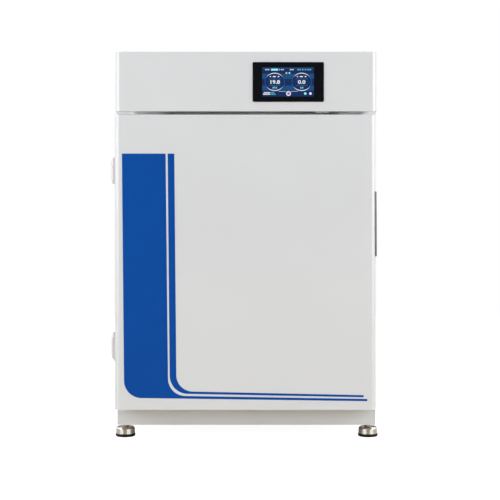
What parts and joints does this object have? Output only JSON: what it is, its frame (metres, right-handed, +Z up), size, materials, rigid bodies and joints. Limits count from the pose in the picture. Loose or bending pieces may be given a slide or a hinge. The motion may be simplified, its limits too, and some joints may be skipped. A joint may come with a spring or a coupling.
{
  "type": "laboratory incubator",
  "caption": "Free-standing laboratory incubator with a touch-screen head, insulated hinged door over a glass door, steel chamber with slotted shelves, and levelling feet.",
  "frame": {"origin": "on the floor under the middle of the cabinet's bounding box", "axes": "+Z up, the door faces -Y, +X to the right as seen from the front"},
  "size_m": [0.81, 0.783, 1.1775],
  "materials": {
    "white_steel": "satin",
    "hinge_enamel": "satin",
    "dark_bronze": "satin",
    "white_plastic": "satin",
    "stainless": "satin",
    "chrome": "polished",
    "black_rubber": "matte",
    "grey_silicone": "matte",
    "orange_silicone": "matte",
    "mineral_wool": "matte",
    "black_gloss": "gloss",
    "black_plastic": "satin",
    "screen_glass": "gloss",
    "blue_film": "satin",
    "clear_glass": "gloss",
    "green_board": "satin",
    "cast_alloy": "satin",
    "white_nylon": "satin",
    "brass": "satin"
  },
  "bodies": {
    "root": {"plinth": "white_steel", "side_panel_left": "white_steel", "side_panel_right": "white_steel", "rear_panel": "white_steel", "head_casing": "white_steel", "top_cover": "white_steel", "head_floor": "white_steel", "cabinet_hinge_leaves": "hinge_enamel", "front_frame": "white_plastic", "door_sensor": "white_plastic", "chamber_liner": "stainless", "rack_uprights": "stainless", "shelf_runners": "stainless", "shelf_lower": "stainless", "shelf_middle": "stainless", "shelf_upper": "stainless", "water_pan": "stainless", "fan_shroud": "stainless", "temperature_probe": "stainless", "co2_sensor": "stainless", "gas_solenoid": "stainless", "glass_hinge_brackets": "stainless", "hinge_pins": "chrome", "cabinet_screws": "chrome", "glass_gasket": "grey_silicone", "heater_mats": "orange_silicone", "cabinet_insulation": "mineral_wool", "display_bezel": "black_gloss", "power_inlet": "black_plastic", "display_screen": "screen_glass", "circuit_boards": "green_board", "fan_motor": "cast_alloy", "power_supply": "cast_alloy", "stacking_studs": "white_nylon", "port_tube": "white_nylon", "gas_filter": "white_nylon", "gas_inlet": "brass"},
    "door": {"door_shell": "white_steel", "door_insulation": "mineral_wool", "door_liner": "stainless", "door_gasket": "grey_silicone", "door_hinge_leaves": "hinge_enamel", "door_screws": "chrome", "door_handle": "dark_bronze", "door_decal": "blue_film"},
    "glass_door": {"inner_glass": "clear_glass", "glass_hinge_clips": "stainless", "glass_knob": "chrome"},
    "fan_rotor": {"fan_shaft": "stainless", "fan_impeller": "white_nylon"},
    "foot_front_left": {"foot_stem_front_left": "chrome", "foot_pad_front_left": "black_rubber"},
    "foot_rear_left": {"foot_stem_rear_left": "chrome", "foot_pad_rear_left": "black_rubber"},
    "foot_front_right": {"foot_stem_front_right": "chrome", "foot_pad_front_right": "black_rubber"},
    "foot_rear_right": {"foot_stem_rear_right": "chrome", "foot_pad_rear_right": "black_rubber"},
    "switch_rocker": {"power_switch": "black_plastic"},
    "stopper": {"port_stopper": "grey_silicone"}
  },
  "joints": [
    {"name": "outer_door", "type": "hinge", "parent": "root", "child": "door", "pos_m": [-0.401, -0.324, 0.545], "axis": [0, 0, -1], "range_deg": [0, 120]},
    {"name": "inner_door", "type": "hinge", "parent": "root", "child": "glass_door", "pos_m": [-0.335, -0.3095, 0.535], "axis": [0, 0, -1], "range_deg": [0, 90]},
    {"name": "fan_rotor", "type": "hinge", "parent": "root", "child": "fan_rotor", "pos_m": [0, 0.12, 0.95], "axis": [0, 0, 1], "continuous": true},
    {"name": "foot_front_left", "type": "slide", "parent": "root", "child": "foot_front_left", "axis": [0, 0, -1], "range_m": [0, 0.012]},
    {"name": "foot_rear_left", "type": "slide", "parent": "root", "child": "foot_rear_left", "axis": [0, 0, -1], "range_m": [0, 0.012]},
    {"name": "foot_front_right", "type": "slide", "parent": "root", "child": "foot_front_right", "axis": [0, 0, -1], "range_m": [0, 0.012]},
    {"name": "foot_rear_right", "type": "slide", "parent": "root", "child": "foot_rear_right", "axis": [0, 0, -1], "range_m": [0, 0.012]},
    {"name": "power_switch", "type": "hinge", "parent": "root", "child": "switch_rocker", "pos_m": [-0.251, 0.369, 1.105], "axis": [1, 0, 0], "range_deg": [0, 14]},
    {"name": "port_stopper", "type": "slide", "parent": "root", "child": "stopper", "axis": [0, 1, 0], "range_m": [0, 0.06]}
  ],
  "couplings": [
    {"joint": "inner_door", "follows": "outer_door", "ratio": 0.75}
  ]
}
